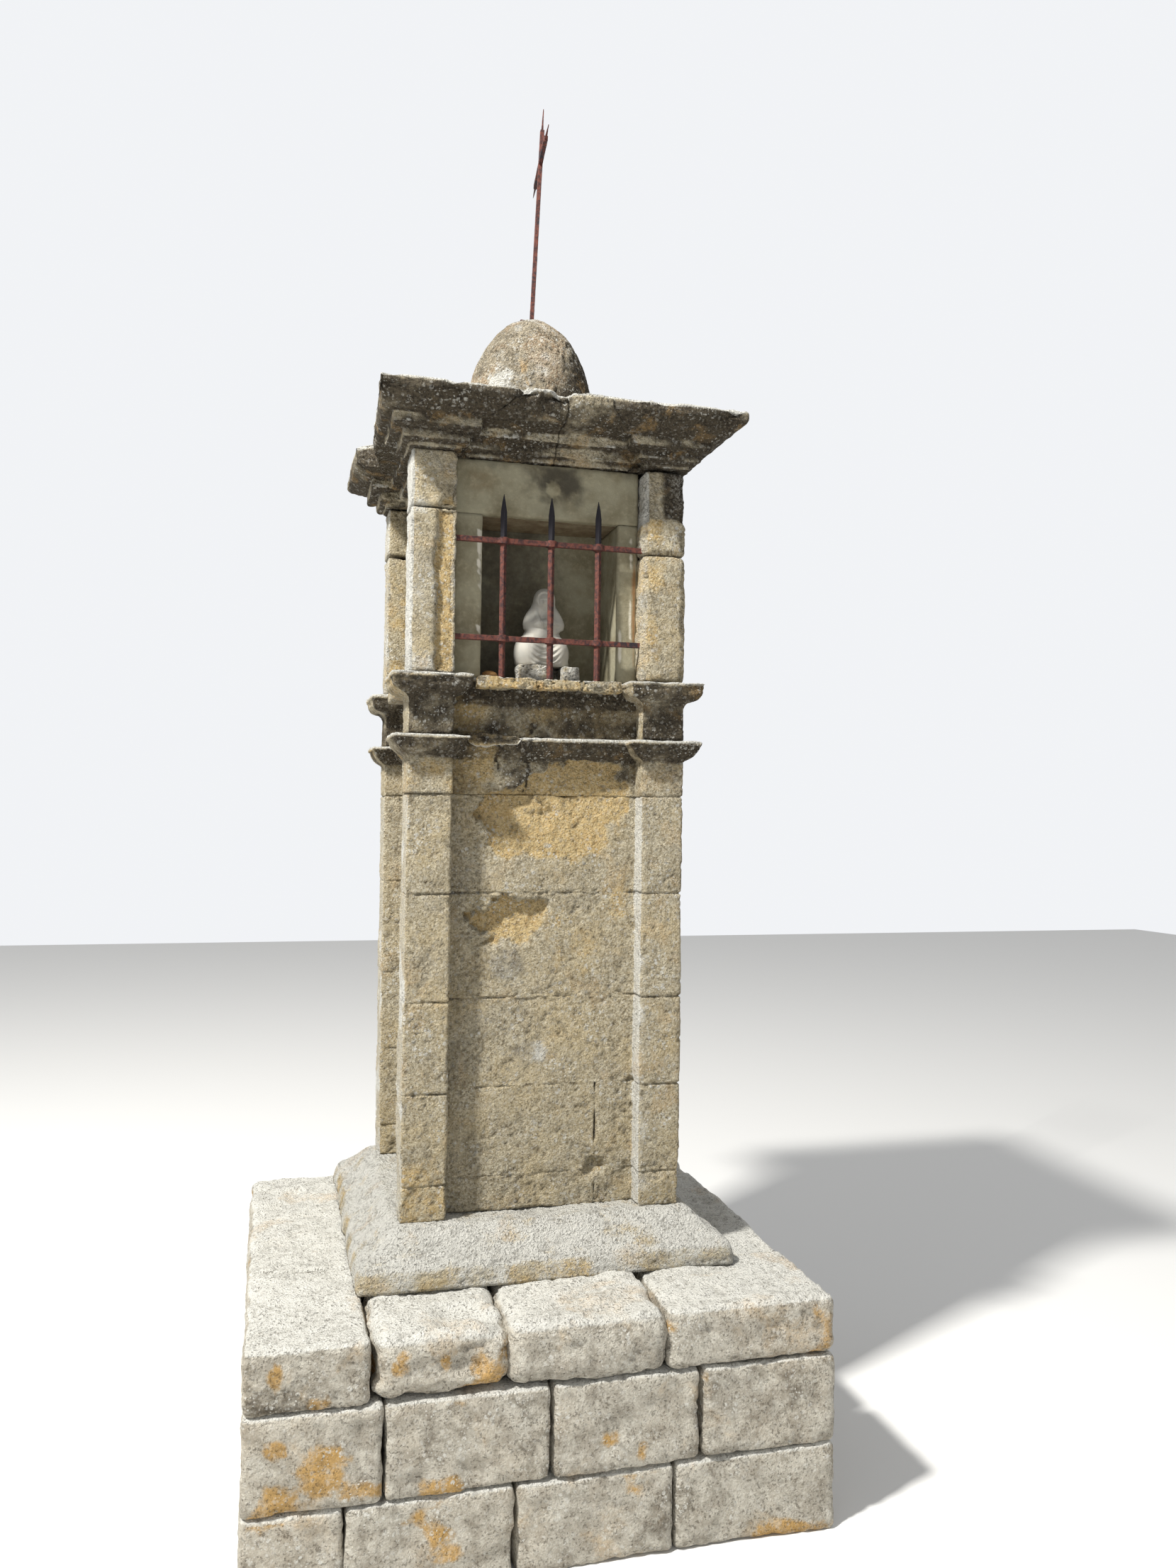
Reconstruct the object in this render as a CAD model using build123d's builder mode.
"""Wayside shrine of coarse limestone: a square pillar with a barred niche, a
moulded cornice and a small domed stone under an iron cross, standing on a
low platform of three courses. Millimetres, +Z up, front towards -Y. The
origin lies on the pillar's axis at the foot of the platform."""
from build123d import *
from math import asin, cos, sin
import os

# Platform: three courses of large blocks around a filled core
PLATFORM_LEFT = 795
PLATFORM_RIGHT = 700
PLATFORM_FRONT = 790
PLATFORM_BACK = 560
FOOTING_HEIGHT = 220
MIDDLE_HEIGHT = 230
TOP_HEIGHT = 150
CORE_LEFT = 503
CORE_RIGHT = 440
CORE_FRONT = 440
CORE_BACK = 440
CORNER_BLOCK_BACK = -300
FRONT_JOINT_LEFT = -168
FRONT_JOINT_RIGHT = 238
MIDDLE_FRONT_JOINTS = (-470, -60, 330)
MIDDLE_SIDE_JOINTS = (-80,)
FOOTING_FRONT_JOINTS = (-560, -150, 260)
FOOTING_SIDE_JOINTS = (90,)
BLOCK_JOINT = 3
WORN_EDGE = 18

# Pillar shaft: corner piers standing proud of sunk panels on four sides
HALF_WIDTH = 400
PIER_WIDTH = 127
PANEL_RECESS = 62
PLINTH_HEIGHT = 135
# Sweep of the plinth: share of its height, and projection there
PLINTH_SECTIONS = ((0, 124), (0.39, 112), (0.52, 84), (0.81, 46), (1, 16))
COURSE_HEIGHTS = (97, 249, 250, 297, 278)
COURSE_SPLITS = (("Y", 60), ("X", 162), ("Y", -90), ("X", -230), ("Y", 40))
STONE_JOINT = 2

# Lower moulding, die and upper moulding
ASTRAGAL_COURSE = 162
ASTRAGAL_SPLIT = -134
ASTRAGAL_PROJECTION = 44
ASTRAGAL_FILLET = 15
ASTRAGAL_OVOLO_TOP = 38
ASTRAGAL_OVOLO_FOOT = 6
ASTRAGAL_OVOLO_HEIGHT = 40
ASTRAGAL_OVOLO_CURVE = 60
ASTRAGAL_BREAK_LENGTH = 148
ASTRAGAL_BREAK_STUB = 22
DIE_HEIGHT = 72
DIE_SPLIT = -38
IMPOST_HEIGHT = 97
IMPOST_PROJECTION = 50
IMPOST_FILLET = 17
IMPOST_BELLY_TOP = 46
IMPOST_BELLY_FOOT = 17
IMPOST_BELLY_HEIGHT = 38
IMPOST_BELLY_CURVE = 36
IMPOST_NECK_TOP = 12
IMPOST_NECK_HEIGHT = 21
IMPOST_NECK_CURVE = 26
SILL_THICKNESS = 35
SILL_GAP_LEFT = 15
SILL_GAP_RIGHT = 8
SILL_DEPTH = 150
SILL_JOINTS = (-34, 93)
SILL_GAP = 2

# Niche stage
NICHE_STAGE_HEIGHT = 625
NICHE_JAMB_LEFT = 83
NICHE_JAMB_RIGHT = 63
NICHE_HEIGHT = 468
NICHE_DEPTH = 193
LEFT_PIER_JOINT = 462
RIGHT_PIER_JOINT = 372
BOSS_X = 12
BOSS_RISE = 88
BOSS_RADIUS = 20
BOSS_RELIEF = 6

# Cornice, roof and dome
CAPITAL_BANDS = ((13, 8), (31, 30), (32, 60))
SOFFIT_START = 74
SOFFIT_RISE = 40
CORNICE_PROJECTION = 140
CORONA_LIP = 30
ROOF_RISE = 38
ROOF_FLAT = 236
CORNICE_JOINT = 3
CORNICE_CROSS_JOINT = 14
CORNICE_LEFT_JOINT = 145
CORNICE_RIGHT_JOINT = -40
DOME_RADIUS = 204
DOME_DRUM = 34
DOME_RISE = 338
DOME_FLAT_CUT = 4
CROWN_SHIFT = 12
# Broken left edge of the cornice: distance along it from the front, and depth lost
BROKEN_EDGE = ((0, 44), (240, 58), (505, 70), (560, 86), (635, 92), (683, 24), (1200, 20))

# Iron cross
PLATE_LENGTH = 52
PLATE_WIDTH = 40
PLATE_THICKNESS = 4
PLATE_CORNER = 8
PLATE_X = 0
CROSS_BAR = 13
CROSS_HEIGHT = 700
CROSS_ARM_LEVEL = 522
CROSS_ARM_HALF = 213
CROSS_SPIKE = 72
CROSS_SPIKE_FOOT = 7
CROSS_SPIKE_TIP = 2
CROSS_SHOULDER = 17
CROSS_FLARE = 18
CROSS_FOOT_X = 14
CROSS_LEAN = 2.4
CROSS_TURN = 6

# Iron grille
BAR_SIDE = 14
BAR_GAP_LEFT = 53
BAR_GAP_RIGHT = 69
BAR_POINT = 52
BAR_HEIGHT = 520
BAR_TIP = 1
GRILLE_SETBACK = 25
RAIL_LEVELS = (109, 386)
RAIL_HEIGHT = 13
RAIL_DEPTH = 12
EYE_RADIUS = 14
EYE_HEIGHT = 17
EYE_CLEARANCE = 0.3

# Statuette, its rest stones and a pebble
REST_HEIGHT = 48
REST_STONES = ((-38, -42, 86, 66), (76, -40, 52, 60), (10, 38, 130, 56))
STATUE_X = 4
STATUE_SETBACK = 150
STATUE_HEIGHT = 237
BASE_SECTIONS = ((0, 0, 84, 52), (9, 0, 88, 55), (20, 0, 83, 52))
LAP_SECTIONS = ((20, 0, 78, 48), (48, 1, 78, 50), (75, 3, 72, 47), (98, 10, 49, 38))
MANTLE_SECTIONS = ((98, 10, 49, 38), (117, 6, 60, 38), (142, 6, 57, 36), (168, 7, 44, 31))
HOOD_SECTIONS = ((168, 7, 44, 31), (182, 8, 35, 30), (205, 8, 34, 30), (224, 8, 26, 24), (237, 8, 10, 10))
STATUE_LEAN_BACK = 0.4
PEBBLE_GAP = 30
PEBBLE_SETBACK = 100
PEBBLE_LENGTH = 46
PEBBLE_WIDTH = 34
PEBBLE_HEIGHT = 26
PEBBLE_FLAT = 4

# Levels worked out from the heights
PLATFORM_TOP = FOOTING_HEIGHT + MIDDLE_HEIGHT + TOP_HEIGHT
SHAFT_FOOT = PLATFORM_TOP + PLINTH_HEIGHT
ASTRAGAL_FOOT = SHAFT_FOOT + sum(COURSE_HEIGHTS)
DIE_FOOT = ASTRAGAL_FOOT + ASTRAGAL_COURSE
IMPOST_FOOT = DIE_FOOT + DIE_HEIGHT
NICHE_FLOOR = IMPOST_FOOT + IMPOST_HEIGHT
LEDGE = NICHE_FLOOR - SILL_THICKNESS
NICHE_TOP = NICHE_FLOOR + NICHE_HEIGHT
CORNICE_FOOT = NICHE_FLOOR + NICHE_STAGE_HEIGHT
PANEL_HALF = HALF_WIDTH - PIER_WIDTH
PANEL_FACE = HALF_WIDTH - PANEL_RECESS
ASTRAGAL_BREAK_START = -PANEL_HALF + ASTRAGAL_PROJECTION
NICHE_BACK = -PANEL_FACE + NICHE_DEPTH
NICHE_LEFT = PANEL_HALF - NICHE_JAMB_LEFT
NICHE_RIGHT = PANEL_HALF - NICHE_JAMB_RIGHT
SILL_LEFT = PANEL_HALF - IMPOST_PROJECTION - SILL_GAP_LEFT
SILL_RIGHT = PANEL_HALF - IMPOST_PROJECTION - SILL_GAP_RIGHT
BAR_FIRST = -NICHE_LEFT + BAR_GAP_LEFT
BAR_LAST = NICHE_RIGHT - BAR_GAP_RIGHT
BAR_XS = (BAR_FIRST, (BAR_FIRST + BAR_LAST) / 2, BAR_LAST)
PEBBLE_X = -NICHE_LEFT + PEBBLE_GAP
GRILLE_Y = -HALF_WIDTH + GRILLE_SETBACK
STATUE_Y = -HALF_WIDTH + STATUE_SETBACK
PEBBLE_Y = -HALF_WIDTH + PEBBLE_SETBACK

os.makedirs("parts", exist_ok=True)


def save(piece, name):
    """Label a finished piece and write it as one STEP file."""
    piece.part.label = name
    export_step(piece.part, f"parts/{name}.step")


def block(x_low, x_high, y_low, y_high, z_low, z_high, mode=Mode.ADD):
    """Add a plain squared stone between the given limits to the open part."""
    with BuildSketch(Plane.XY.offset(z_low)) as plan:
        with Locations(((x_low + x_high) / 2, (y_low + y_high) / 2)):
            Rectangle(x_high - x_low, y_high - y_low)
    extrude(plan.sketch, amount=z_high - z_low, mode=mode)


def spans(start, end, joints, gap):
    """Lengths of a row of stones from start to end, open at each joint."""
    edges = [start, *joints, end]
    return [(low + (gap / 2 if i else 0), high - (gap / 2 if i < len(joints) else 0))
            for i, (low, high) in enumerate(zip(edges, edges[1:]))]


def panelled_square(projection):
    """Square plan with a sunk panel in each side, grown by a projection."""
    half = HALF_WIDTH + projection
    Rectangle(2 * half, 2 * half)
    with PolarLocations(half - PANEL_RECESS / 2, 4):
        Rectangle(PANEL_RECESS, 2 * (PANEL_HALF - projection), mode=Mode.SUBTRACT)


def ring_course(name, foot, height, front_joints, side_joints):
    """One course of platform blocks laid in bond around the core."""
    with BuildPart() as course:
        for low, high in spans(-PLATFORM_LEFT, PLATFORM_RIGHT, front_joints, BLOCK_JOINT):
            block(low, high, -PLATFORM_FRONT, -CORE_FRONT, foot, foot + height)
            block(low, high, CORE_BACK, PLATFORM_BACK, foot, foot + height)
        side_start = -CORE_FRONT + BLOCK_JOINT
        for low, high in spans(side_start, CORE_BACK - BLOCK_JOINT, side_joints, BLOCK_JOINT):
            block(-PLATFORM_LEFT, -CORE_LEFT, low, high, foot, foot + height)
            block(CORE_RIGHT, PLATFORM_RIGHT, low, high, foot, foot + height)
    save(course, name)


def top_block(name, x_low, x_high, y_low, y_high):
    """One block of the platform's top course, worn round along its top edges."""
    foot = PLATFORM_TOP - TOP_HEIGHT
    with BuildPart() as stone:
        block(x_low, x_high, y_low, y_high, foot, PLATFORM_TOP)
        top = stone.faces().sort_by(Axis.Z)[-1]
        outer = []
        if x_low == -PLATFORM_LEFT:
            outer.append(top.edges().sort_by(Axis.X)[0])
        if x_high == PLATFORM_RIGHT:
            outer.append(top.edges().sort_by(Axis.X)[-1])
        if y_low == -PLATFORM_FRONT:
            outer.append(top.edges().sort_by(Axis.Y)[0])
        if y_high == PLATFORM_BACK:
            outer.append(top.edges().sort_by(Axis.Y)[-1])
        fillet(outer, WORN_EDGE)
    save(stone, name)


def make_platform():
    """Footing and middle course, the filled core and seven top blocks."""
    ring_course("platform_footing", 0, FOOTING_HEIGHT, FOOTING_FRONT_JOINTS, FOOTING_SIDE_JOINTS)
    ring_course("platform_middle_course", FOOTING_HEIGHT, MIDDLE_HEIGHT,
                MIDDLE_FRONT_JOINTS, MIDDLE_SIDE_JOINTS)
    with BuildPart() as core:
        block(-CORE_LEFT, CORE_RIGHT, -CORE_FRONT, CORE_BACK, 0, PLATFORM_TOP)
    save(core, "platform_core")
    top_block("platform_corner_block", -PLATFORM_LEFT, -CORE_LEFT, -PLATFORM_FRONT, CORNER_BLOCK_BACK)
    top_block("platform_front_left", -CORE_LEFT, FRONT_JOINT_LEFT, -PLATFORM_FRONT, -CORE_FRONT)
    top_block("platform_front_middle", FRONT_JOINT_LEFT, FRONT_JOINT_RIGHT, -PLATFORM_FRONT, -CORE_FRONT)
    top_block("platform_end_slab", FRONT_JOINT_RIGHT, PLATFORM_RIGHT, -PLATFORM_FRONT, -CORE_FRONT)
    top_block("platform_side_left", -PLATFORM_LEFT, -CORE_LEFT, CORNER_BLOCK_BACK, PLATFORM_BACK)
    top_block("platform_side_right", CORE_RIGHT, PLATFORM_RIGHT, -CORE_FRONT, PLATFORM_BACK)
    top_block("platform_back", -CORE_LEFT, CORE_RIGHT, CORE_BACK, PLATFORM_BACK)


def make_plinth():
    """Square plinth whose face sweeps in, hollow, to the foot of the piers."""
    with BuildPart() as plinth:
        for (low, wide), (high, narrow) in zip(PLINTH_SECTIONS, PLINTH_SECTIONS[1:]):
            with BuildSketch(Plane.XY.offset(PLATFORM_TOP + low * PLINTH_HEIGHT)) as lower:
                Rectangle(2 * (HALF_WIDTH + wide), 2 * (HALF_WIDTH + wide))
            with BuildSketch(Plane.XY.offset(PLATFORM_TOP + high * PLINTH_HEIGHT)) as upper:
                Rectangle(2 * (HALF_WIDTH + narrow), 2 * (HALF_WIDTH + narrow))
            loft([lower.sketch, upper.sketch])
    save(plinth, "pillar_plinth")


def open_joint(axis, place, low, high):
    """Cut the thin upright joint between two stones of one course."""
    reach = HALF_WIDTH + CORNICE_PROJECTION
    edge = (place - STONE_JOINT / 2, place + STONE_JOINT / 2)
    x_low, x_high = edge if axis == "X" else (-reach, reach)
    y_low, y_high = edge if axis == "Y" else (-reach, reach)
    block(x_low, x_high, y_low, y_high, low, high, mode=Mode.SUBTRACT)


def make_shaft():
    """Five plain courses, each of two stones laid across the course below."""
    foot = SHAFT_FOOT
    for number, (height, (axis, place)) in enumerate(zip(COURSE_HEIGHTS, COURSE_SPLITS), 1):
        with BuildPart() as course:
            with BuildSketch(Plane.XY.offset(foot)):
                panelled_square(0)
            extrude(amount=height)
            open_joint(axis, place, foot, foot + height)
        save(course, f"shaft_course_{number}")
        foot += height


def panelled_path(foot):
    """Closed line round the piers and panels at a level."""
    side = [(-HALF_WIDTH, -HALF_WIDTH), (-PANEL_HALF, -HALF_WIDTH), (-PANEL_HALF, -PANEL_FACE),
            (PANEL_HALF, -PANEL_FACE), (PANEL_HALF, -HALF_WIDTH)]
    points = [Vector(x, y, foot).rotate(Axis.Z, 90 * turn) for turn in range(4) for x, y in side]
    with BuildLine() as path:
        Polyline(*points, close=True)
    return path.line


def moulding_plane(level):
    """Plane of a moulding's profile: x outwards from the front, y upwards."""
    return Plane(origin=(-HALF_WIDTH + PIER_WIDTH / 2, -HALF_WIDTH, level),
                 x_dir=(0, -1, 0), z_dir=(-1, 0, 0))


def make_astragal():
    """Course whose top carries an ovolo and a thin fillet round piers and panels."""
    path = panelled_path(DIE_FOOT)
    with BuildPart() as course:
        with BuildSketch(Plane.XY.offset(ASTRAGAL_FOOT)):
            panelled_square(0)
        extrude(amount=ASTRAGAL_COURSE)
        with BuildSketch(moulding_plane(DIE_FOOT)):
            with BuildLine():
                under = -ASTRAGAL_FILLET
                foot = under - ASTRAGAL_OVOLO_HEIGHT
                Line((0, 0), (ASTRAGAL_PROJECTION, 0))
                Line((ASTRAGAL_PROJECTION, 0), (ASTRAGAL_PROJECTION, under))
                Line((ASTRAGAL_PROJECTION, under), (ASTRAGAL_OVOLO_TOP, under))
                RadiusArc((ASTRAGAL_OVOLO_TOP, under), (ASTRAGAL_OVOLO_FOOT, foot), -ASTRAGAL_OVOLO_CURVE)
                Line((ASTRAGAL_OVOLO_FOOT, foot), (0, foot))
                Line((0, foot), (0, 0))
            make_face()
        sweep(path=path, transition=Transition.RIGHT)
        open_joint("X", ASTRAGAL_SPLIT, ASTRAGAL_FOOT, DIE_FOOT)
        block(ASTRAGAL_BREAK_START, ASTRAGAL_BREAK_START + ASTRAGAL_BREAK_LENGTH,
              -HALF_WIDTH - ASTRAGAL_PROJECTION, -PANEL_FACE - ASTRAGAL_BREAK_STUB,
              DIE_FOOT - ASTRAGAL_FILLET - ASTRAGAL_OVOLO_HEIGHT, DIE_FOOT, mode=Mode.SUBTRACT)
    save(course, "astragal_course")


def corner_path(level, turn):
    """Open line round one corner pier, from panel to panel."""
    points = [(-PANEL_HALF, -PANEL_FACE), (-PANEL_HALF, -HALF_WIDTH), (-HALF_WIDTH, -HALF_WIDTH),
              (-HALF_WIDTH, -PANEL_HALF), (-PANEL_FACE, -PANEL_HALF)]
    with BuildLine() as path:
        Polyline(*[Vector(x, y, level).rotate(Axis.Z, 90 * turn) for x, y in points])
    return path.line


def make_die():
    """Die course with a moulded impost on each corner pier and low panels between."""
    with BuildPart() as course:
        with BuildSketch(Plane.XY.offset(DIE_FOOT)):
            panelled_square(0)
        extrude(amount=LEDGE - DIE_FOOT)
        with BuildSketch(Plane.XY.offset(LEDGE)):
            with GridLocations(2 * (HALF_WIDTH - PIER_WIDTH / 2), 2 * (HALF_WIDTH - PIER_WIDTH / 2), 2, 2):
                Rectangle(PIER_WIDTH, PIER_WIDTH)
        extrude(amount=SILL_THICKNESS)
        for turn in range(4):
            start = Plane(origin=Vector(-PANEL_HALF, -PANEL_FACE, NICHE_FLOOR).rotate(Axis.Z, 90 * turn),
                          x_dir=Vector(1, 0, 0).rotate(Axis.Z, 90 * turn),
                          z_dir=Vector(0, -1, 0).rotate(Axis.Z, 90 * turn))
            with BuildSketch(start):
                with BuildLine():
                    under = -IMPOST_FILLET
                    step = under - IMPOST_BELLY_HEIGHT
                    foot = step - IMPOST_NECK_HEIGHT
                    Line((0, 0), (IMPOST_PROJECTION, 0))
                    Line((IMPOST_PROJECTION, 0), (IMPOST_PROJECTION, under))
                    Line((IMPOST_PROJECTION, under), (IMPOST_BELLY_TOP, under))
                    RadiusArc((IMPOST_BELLY_TOP, under), (IMPOST_BELLY_FOOT, step), -IMPOST_BELLY_CURVE)
                    Line((IMPOST_BELLY_FOOT, step), (IMPOST_NECK_TOP, step))
                    RadiusArc((IMPOST_NECK_TOP, step), (0, foot), IMPOST_NECK_CURVE)
                    Line((0, foot), (0, 0))
                make_face()
            sweep(path=corner_path(NICHE_FLOOR, turn), transition=Transition.RIGHT)
        open_joint("X", DIE_SPLIT, DIE_FOOT, NICHE_FLOOR)
    save(course, "die_course")


def make_sills():
    """Three rough stones under the niche, and the bed that floors it."""
    with BuildPart() as stones:
        for low, high in spans(-SILL_LEFT, SILL_RIGHT, SILL_JOINTS, SILL_GAP):
            block(low, high, -HALF_WIDTH, -HALF_WIDTH + SILL_DEPTH, LEDGE, NICHE_FLOOR)
    save(stones, "sill_stones")
    with BuildPart() as bed:
        with BuildSketch(Plane.XY.offset(LEDGE)):
            Rectangle(2 * PANEL_HALF, 2 * PANEL_FACE)
            Rectangle(2 * PANEL_FACE, 2 * PANEL_HALF)
            with PolarLocations(HALF_WIDTH - SILL_DEPTH / 2, 3, start_angle=0, angular_range=180,
                                endpoint=True):
                Rectangle(SILL_DEPTH, SILL_LEFT + SILL_RIGHT)
            with Locations(((SILL_RIGHT - SILL_LEFT) / 2, -HALF_WIDTH + SILL_DEPTH / 2)):
                Rectangle(SILL_LEFT + SILL_RIGHT, SILL_DEPTH, mode=Mode.SUBTRACT)
        extrude(amount=SILL_THICKNESS)
    save(bed, "niche_floor")


def make_niche_piers():
    """Two stones to each corner pier, with the joint lower on the right."""
    reach = HALF_WIDTH - PIER_WIDTH
    for side, x_low, joint in (("left", -HALF_WIDTH, LEFT_PIER_JOINT), ("right", reach, RIGHT_PIER_JOINT)):
        for place, y_low in (("front", -HALF_WIDTH), ("back", reach)):
            with BuildPart() as lower:
                block(x_low, x_low + PIER_WIDTH, y_low, y_low + PIER_WIDTH, NICHE_FLOOR, NICHE_FLOOR + joint)
            save(lower, f"pier_{place}_{side}_lower")
            with BuildPart() as upper:
                block(x_low, x_low + PIER_WIDTH, y_low, y_low + PIER_WIDTH, NICHE_FLOOR + joint, CORNICE_FOOT)
            save(upper, f"pier_{place}_{side}_upper")


def make_niche_walls():
    """Side walls, back and lintel around the niche, sunk between the piers."""
    sides = (("left", -PANEL_FACE, -PANEL_HALF, -NICHE_LEFT), ("right", PANEL_FACE, PANEL_HALF, NICHE_RIGHT))
    for side, face, shoulder, jamb in sides:
        with BuildPart() as wall:
            with BuildSketch(Plane.XY.offset(NICHE_FLOOR)):
                with Locations(((face + jamb) / 2, 0)):
                    Rectangle(abs(face - jamb), 2 * PANEL_HALF)
                with Locations(((shoulder + jamb) / 2, 0)):
                    Rectangle(abs(shoulder - jamb), 2 * PANEL_FACE)
            extrude(amount=NICHE_STAGE_HEIGHT)
            with BuildSketch(Plane.XY.offset(NICHE_TOP)):
                with Locations((0, (-PANEL_FACE + NICHE_BACK) / 2)):
                    Rectangle(2 * PANEL_HALF, NICHE_DEPTH)
            extrude(amount=CORNICE_FOOT - NICHE_TOP, mode=Mode.SUBTRACT)
        save(wall, f"niche_wall_{side}")
    with BuildPart() as back:
        block(-NICHE_LEFT, NICHE_RIGHT, NICHE_BACK, PANEL_FACE, NICHE_FLOOR, CORNICE_FOOT)
    save(back, "niche_back")
    with BuildPart() as lintel:
        block(-PANEL_HALF, PANEL_HALF, -PANEL_FACE, NICHE_BACK, NICHE_TOP, CORNICE_FOOT)
        with Locations((BOSS_X, -PANEL_FACE, NICHE_TOP + BOSS_RISE)):
            Cylinder(BOSS_RADIUS, 2 * BOSS_RELIEF, rotation=(90, 0, 0))
    save(lintel, "niche_lintel")


def cornice_stone(name, x_joints, y_joint):
    """One quarter of the cornice: banded capital, sloped soffit, lip and weathering.

    x_joints and y_joint give the stone's share: (low, high) limits in x, or None
    for the outer edge, and likewise in y."""
    half = HALF_WIDTH + CORNICE_PROJECTION
    with BuildPart() as stone:
        level = CORNICE_FOOT
        for rise, projection in CAPITAL_BANDS:
            with BuildSketch(Plane.XY.offset(level)):
                panelled_square(projection)
            extrude(amount=rise)
            level += rise
        with BuildSketch(Plane.XY.offset(level)):
            Rectangle(2 * (HALF_WIDTH + SOFFIT_START), 2 * (HALF_WIDTH + SOFFIT_START))
        with BuildSketch(Plane.XY.offset(level + SOFFIT_RISE)):
            Rectangle(2 * half, 2 * half)
        loft()
        level += SOFFIT_RISE
        block(-half, half, -half, half, level, level + CORONA_LIP)
        level += CORONA_LIP
        with BuildSketch(Plane.XY.offset(level)):
            Rectangle(2 * half, 2 * half)
        with BuildSketch(Plane.XY.offset(level + ROOF_RISE)):
            Rectangle(2 * ROOF_FLAT, 2 * ROOF_FLAT)
        loft()
        level += ROOF_RISE
        limits = []
        for low, high in (x_joints, y_joint):
            limits.append(-half if low is None else low + CORNICE_JOINT / 2)
            limits.append(half if high is None else high - CORNICE_JOINT / 2)
        block(*limits, CORNICE_FOOT, level, mode=Mode.INTERSECT)
        if x_joints[0] is None:
            worn = [(-half + depth, -half + along) for along, depth in BROKEN_EDGE]
            with BuildSketch(Plane.XY.offset(CORNICE_FOOT)) as lost:
                with BuildLine():
                    Polyline((-half - CORNICE_JOINT, worn[0][1]), *worn, (-half - CORNICE_JOINT, worn[-1][1]),
                             close=True)
                make_face()
            extrude(lost.sketch, amount=level - CORNICE_FOOT, mode=Mode.SUBTRACT)
    save(stone, name)
    return level


def make_dome(foot):
    """Turned stone: a short drum under a tall half ellipse, flat at the crown."""
    spring = foot + DOME_DRUM
    flat_angle = asin(1 - DOME_FLAT_CUT / DOME_RISE)
    with BuildPart() as dome:
        with BuildSketch(Plane.XZ):
            with BuildLine():
                base = Line((CROWN_SHIFT, foot), (CROWN_SHIFT + DOME_RADIUS, foot))
                side = Line(base @ 1, (CROWN_SHIFT + DOME_RADIUS, spring))
                through = [(CROWN_SHIFT + DOME_RADIUS * cos(angle), spring + DOME_RISE * sin(angle))
                           for angle in (0, flat_angle / 3, flat_angle * 2 / 3, flat_angle)]
                slope = (-DOME_RADIUS * sin(flat_angle), DOME_RISE * cos(flat_angle))
                curve = Spline(*through, tangents=[(0, 1), slope])
                flat = Line(curve @ 1, (CROWN_SHIFT, (curve @ 1).Y))
                Line(flat @ 1, base @ 0)
            make_face()
        revolve(axis=Axis((CROWN_SHIFT, 0, 0), (0, 0, 1)))
    save(dome, "dome_stone")
    return dome.part.bounding_box().max.Z


def forged_point(frame, shoulder_at, direction):
    """Add a forged end to the open part: a flared shoulder, then a thin spike."""
    start = Plane(origin=frame.from_local_coords(shoulder_at), x_dir=frame.x_dir,
                  z_dir=frame.from_local_coords(direction) - frame.origin)
    with BuildSketch(start.offset(-CROSS_FLARE)) as stem:
        Rectangle(CROSS_BAR, CROSS_BAR)
    with BuildSketch(start) as shoulder:
        Rectangle(CROSS_BAR, CROSS_SHOULDER)
    loft([stem.sketch, shoulder.sketch])
    with BuildSketch(start) as spike_foot:
        Rectangle(CROSS_SPIKE_FOOT, CROSS_SPIKE_FOOT)
    with BuildSketch(start.offset(CROSS_SPIKE)) as spike_tip:
        Rectangle(CROSS_SPIKE_TIP, CROSS_SPIKE_TIP)
    loft([spike_foot.sketch, spike_tip.sketch])


def make_cross(crown):
    """Foot plate, leaning post and cross arm, halved together where they meet."""
    with BuildPart() as plate:
        with BuildSketch(Plane.XY.offset(crown)):
            with Locations((PLATE_X, 0)):
                Rectangle(PLATE_LENGTH, PLATE_WIDTH)
        extrude(amount=PLATE_THICKNESS)
        fillet(plate.edges().filter_by(Axis.Z), PLATE_CORNER)
    save(plate, "cross_foot_plate")
    frame = Plane(origin=(CROSS_FOOT_X, 0, crown + PLATE_THICKNESS)).rotated((0, CROSS_LEAN, -CROSS_TURN))
    with BuildPart() as post:
        with BuildSketch(frame):
            Rectangle(CROSS_BAR, CROSS_BAR)
        extrude(amount=CROSS_HEIGHT - CROSS_SPIKE)
        forged_point(frame, (0, 0, CROSS_HEIGHT - CROSS_SPIKE), (0, 0, 1))
        with BuildSketch(frame.offset(CROSS_ARM_LEVEL - CROSS_BAR / 2)):
            with Locations((CROSS_BAR / 4, 0)):
                Rectangle(CROSS_BAR / 2, CROSS_BAR)
        extrude(amount=CROSS_BAR, mode=Mode.SUBTRACT)
        split(bisect_by=Plane.XY.offset(crown + PLATE_THICKNESS), keep=Keep.TOP)
    save(post, "cross_post")
    inner = CROSS_ARM_HALF - CROSS_SPIKE
    with BuildPart() as arm:
        with BuildSketch(frame.offset(CROSS_ARM_LEVEL - CROSS_BAR / 2)):
            Rectangle(CROSS_BAR, 2 * inner)
        extrude(amount=CROSS_BAR)
        forged_point(frame, (0, inner, CROSS_ARM_LEVEL), (0, 1, 0))
        forged_point(frame, (0, -inner, CROSS_ARM_LEVEL), (0, -1, 0))
        with BuildSketch(frame.offset(CROSS_ARM_LEVEL - CROSS_BAR / 2)):
            with Locations((-CROSS_BAR / 4, 0)):
                Rectangle(CROSS_BAR / 2, CROSS_BAR)
        extrude(amount=CROSS_BAR, mode=Mode.SUBTRACT)
    save(arm, "cross_arm")


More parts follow.
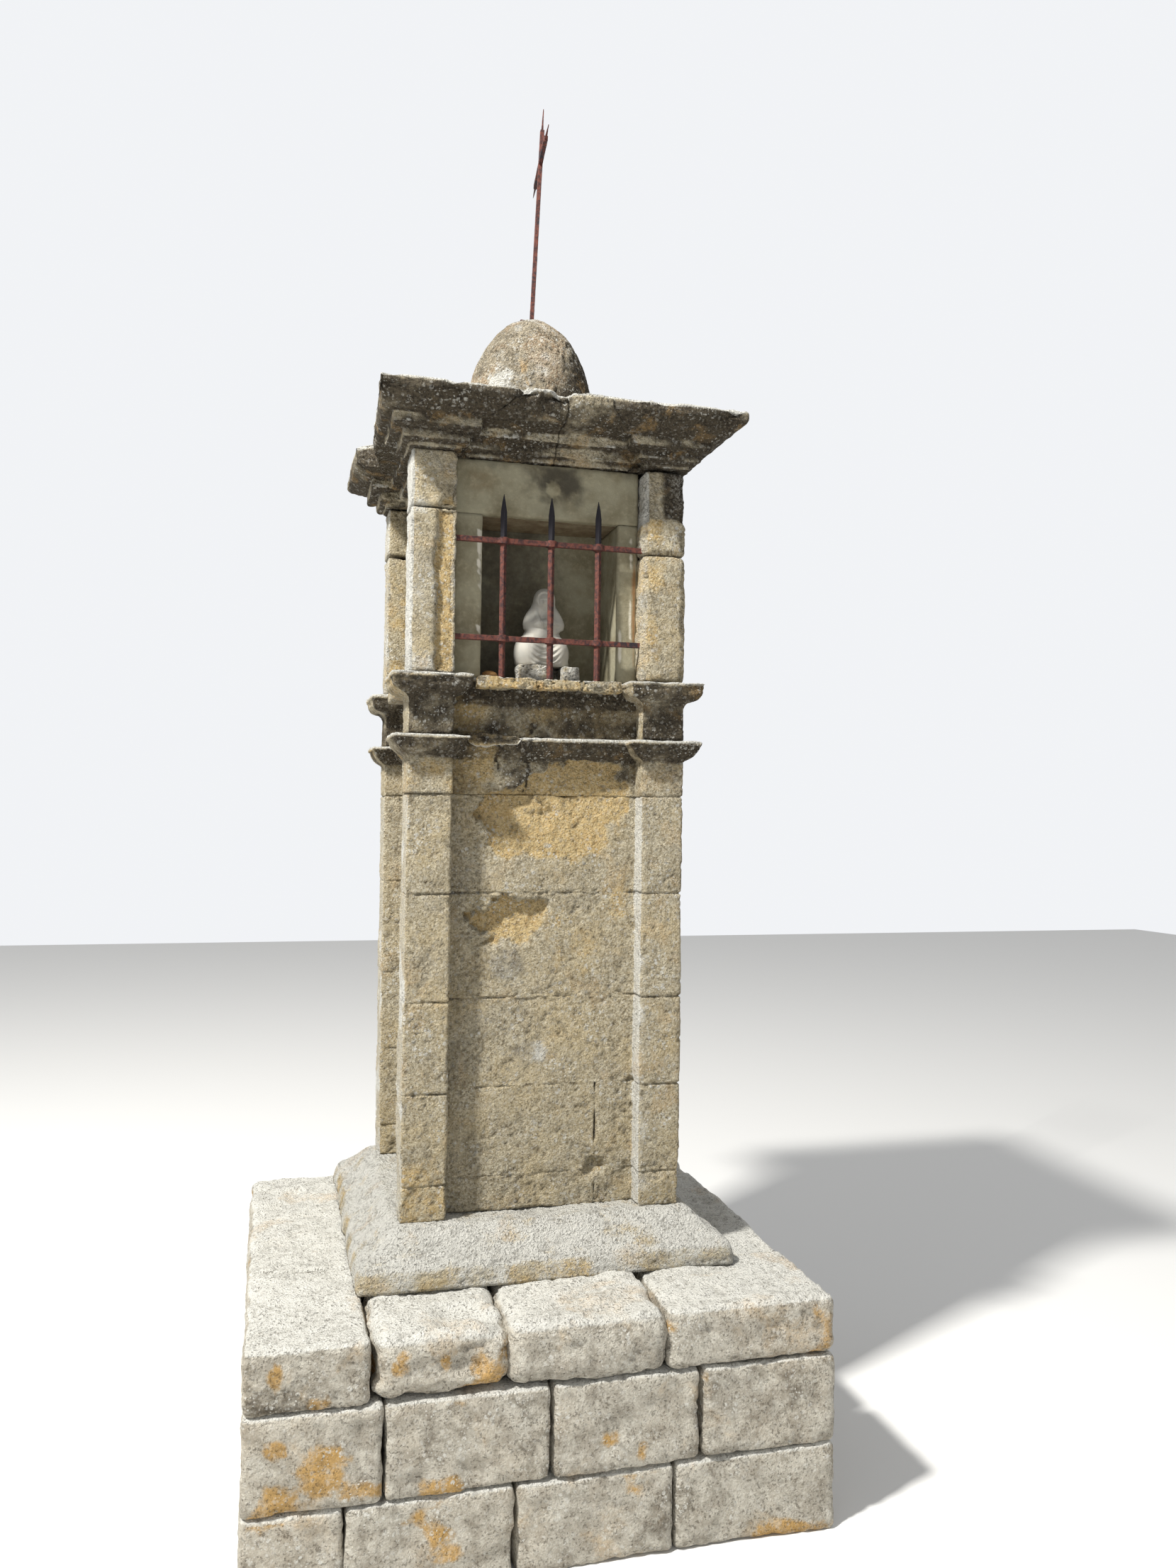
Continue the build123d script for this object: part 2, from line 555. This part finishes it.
def make_grille():
    """Three pointed bars set cornerwise through the eyes of two rails."""
    with BuildPart() as bars:
        for x in BAR_XS:
            with BuildSketch(Plane.XY.offset(NICHE_FLOOR)):
                with Locations((x, GRILLE_Y)):
                    Rectangle(BAR_SIDE, BAR_SIDE, rotation=45)
            extrude(amount=BAR_HEIGHT - BAR_POINT)
            with BuildSketch(Plane.XY.offset(NICHE_FLOOR + BAR_HEIGHT - BAR_POINT)):
                with Locations((x, GRILLE_Y)):
                    Rectangle(BAR_SIDE, BAR_SIDE, rotation=45)
            with BuildSketch(Plane.XY.offset(NICHE_FLOOR + BAR_HEIGHT)):
                with Locations((x, GRILLE_Y)):
                    Rectangle(BAR_TIP, BAR_TIP, rotation=45)
            loft()
    save(bars, "grille_bars")
    hole = BAR_SIDE + 2 * EYE_CLEARANCE
    with BuildPart() as rails:
        for rise in RAIL_LEVELS:
            level = NICHE_FLOOR + rise
            block(-PANEL_HALF, PANEL_HALF, GRILLE_Y - RAIL_DEPTH / 2, GRILLE_Y + RAIL_DEPTH / 2,
                  level - RAIL_HEIGHT / 2, level + RAIL_HEIGHT / 2)
            with BuildSketch(Plane.XY.offset(level - EYE_HEIGHT / 2)):
                with Locations(*[(x, GRILLE_Y) for x in BAR_XS]):
                    Circle(EYE_RADIUS)
            extrude(amount=EYE_HEIGHT)
            with BuildSketch(Plane.XY.offset(level - EYE_HEIGHT)):
                with Locations(*[(x, GRILLE_Y) for x in BAR_XS]):
                    Rectangle(hole, hole, rotation=45)
            extrude(amount=2 * EYE_HEIGHT, mode=Mode.SUBTRACT)
    save(rails, "grille_rails")


def make_statuette():
    """Veiled figure seated on rough rest stones, with a pebble beside it."""
    with BuildPart() as rests:
        for x, y, length, depth in REST_STONES:
            block(STATUE_X + x - length / 2, STATUE_X + x + length / 2,
                  STATUE_Y + y - depth / 2, STATUE_Y + y + depth / 2,
                  NICHE_FLOOR, NICHE_FLOOR + REST_HEIGHT)
    save(rests, "statue_rests")
    foot = NICHE_FLOOR + REST_HEIGHT
    grow = STATUE_HEIGHT / HOOD_SECTIONS[-1][0]
    with BuildPart() as statue:
        for stack in (BASE_SECTIONS, LAP_SECTIONS, MANTLE_SECTIONS, HOOD_SECTIONS):
            layers = []
            for rise, shift, half_x, half_y in stack:
                with BuildSketch(Plane.XY.offset(foot + rise * grow)) as layer:
                    with Locations((STATUE_X + shift, STATUE_Y + STATUE_LEAN_BACK * shift)):
                        Ellipse(half_x * grow, half_y * grow)
                layers.append(layer.sketch)
            loft(layers)
    save(statue, "statuette")
    with BuildPart() as pebble:
        with BuildSketch(Plane.XY.offset(NICHE_FLOOR)) as flat:
            with Locations((PEBBLE_X, PEBBLE_Y)):
                Ellipse(PEBBLE_LENGTH / 2 - PEBBLE_HEIGHT / 4, PEBBLE_WIDTH / 2 - PEBBLE_HEIGHT / 4)
        with BuildSketch(Plane.XY.offset(NICHE_FLOOR + PEBBLE_HEIGHT / 2)) as girth:
            with Locations((PEBBLE_X, PEBBLE_Y)):
                Ellipse(PEBBLE_LENGTH / 2, PEBBLE_WIDTH / 2)
        with BuildSketch(Plane.XY.offset(NICHE_FLOOR + PEBBLE_HEIGHT)) as top:
            with Locations((PEBBLE_X, PEBBLE_Y)):
                Ellipse(PEBBLE_LENGTH / 2 - PEBBLE_FLAT * 2, PEBBLE_WIDTH / 2 - PEBBLE_FLAT * 2)
        loft([flat.sketch, girth.sketch, top.sketch])
    save(pebble, "pebble")


make_platform()
make_plinth()
make_shaft()
make_astragal()
make_die()
make_sills()
make_niche_piers()
make_niche_walls()
cornice_stone("cornice_front_left", (None, CORNICE_CROSS_JOINT), (None, CORNICE_LEFT_JOINT))
cornice_stone("cornice_front_right", (CORNICE_CROSS_JOINT, None), (None, CORNICE_RIGHT_JOINT))
cornice_stone("cornice_back_left", (None, CORNICE_CROSS_JOINT), (CORNICE_LEFT_JOINT, None))
roof_top = cornice_stone("cornice_back_right", (CORNICE_CROSS_JOINT, None), (CORNICE_RIGHT_JOINT, None))
crown = make_dome(roof_top)
make_cross(crown)
make_grille()
make_statuette()
